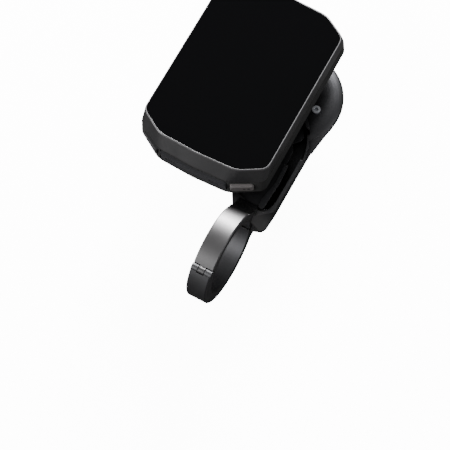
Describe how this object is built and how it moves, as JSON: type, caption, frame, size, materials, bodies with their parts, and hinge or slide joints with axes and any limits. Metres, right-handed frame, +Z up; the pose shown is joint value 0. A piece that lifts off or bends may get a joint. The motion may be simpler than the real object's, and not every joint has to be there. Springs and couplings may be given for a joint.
{
  "type": "cycling computer",
  "caption": "Touch-screen cycling computer locked by a quarter turn in its out-front bar mount, with a hinged bar clamp, side and lower buttons and a rubber port cover.",
  "frame": {"origin": "middle of the bar clamp's bore, on the handlebar's axis", "axes": "+X along the handlebar to the rider's right, +Y forward along the arm and the computer, +Z up, normal to the glass"},
  "size_m": [0.0675, 0.1277, 0.0417],
  "materials": {
    "arm_shell": "satin dark grey anodising over aluminium",
    "clamp_metal": "bead-blasted dark grey anodised aluminium",
    "socket_plastic": "glass-filled nylon, matt",
    "steel": "plain stainless steel",
    "dark_steel": "blackened stainless steel",
    "brass": "turned brass",
    "glass": "glossy black-printed cover glass",
    "display": "unlit display panel",
    "flex": "polyimide flexible circuit",
    "black_rubber": "moulded seal rubber",
    "port_rubber": "fine-textured elastomer",
    "frame_finish": "satin grey painted frame",
    "case_plastic": "fine spark-eroded texture",
    "board": "green solder mask",
    "foil": "battery pouch foil",
    "antenna": "fired ceramic patch",
    "button_dark": "satin moulded key",
    "button_light": "satin grey moulded key"
  },
  "bodies": {
    "mount": {"mount_arm": "arm_shell", "bayonet_socket": "socket_plastic", "socket_screws": "steel", "bracket_screws": "steel", "hinge_pin": "steel", "thread_insert": "brass"},
    "strap": {"clamp_strap": "clamp_metal", "clamp_screw": "steel"},
    "computer": {"cover_glass": "glass", "glass_gasket": "black_rubber", "display_panel": "display", "display_flex": "flex", "front_frame": "frame_finish", "case_seal": "black_rubber", "rear_case": "case_plastic", "main_board": "board", "rf_shield": "steel", "battery": "foil", "usb_socket": "steel", "gnss_antenna": "antenna", "buzzer": "case_plastic", "lap_switch": "steel", "start_switch": "steel", "power_switch": "steel", "lap_seal": "black_rubber", "start_seal": "black_rubber", "power_seal": "black_rubber", "case_screws": "dark_steel", "quarter_turn_plate": "socket_plastic", "plate_screws": "steel", "vent_plug": "black_rubber"},
    "lap_key": {"lap_button": "button_dark"},
    "start_key": {"start_button": "button_light"},
    "power_key": {"power_button": "button_dark"},
    "port_flap": {"port_cover": "port_rubber"}
  },
  "joints": [
    {"name": "quarter_turn", "type": "hinge", "parent": "mount", "child": "computer", "pos_m": [-0.0244, 0.0639, 0.002], "axis": [0, 0, 1], "range_deg": [0, 90]},
    {"name": "clamp_hinge", "type": "hinge", "parent": "mount", "child": "strap", "pos_m": [0, -0.0132, 0.01367], "axis": [-1, 0, 0], "range_deg": [0, 95]},
    {"name": "lap_press", "type": "slide", "parent": "computer", "child": "lap_key", "axis": [0.4924, 0.8704, 0], "range_m": [0, 0.0007], "stiffness_N_per_m": 3000},
    {"name": "start_press", "type": "slide", "parent": "computer", "child": "start_key", "axis": [-0.4924, 0.8704, 0], "range_m": [0, 0.0007], "stiffness_N_per_m": 3000},
    {"name": "power_press", "type": "slide", "parent": "computer", "child": "power_key", "axis": [1, 0, 0], "range_m": [0, 0.0007], "stiffness_N_per_m": 3000},
    {"name": "port_flap_hinge", "type": "hinge", "parent": "computer", "child": "port_flap", "pos_m": [-0.03845, 0.02275, 0.0103], "axis": [0, 0, -1], "range_deg": [0, 100]}
  ]
}
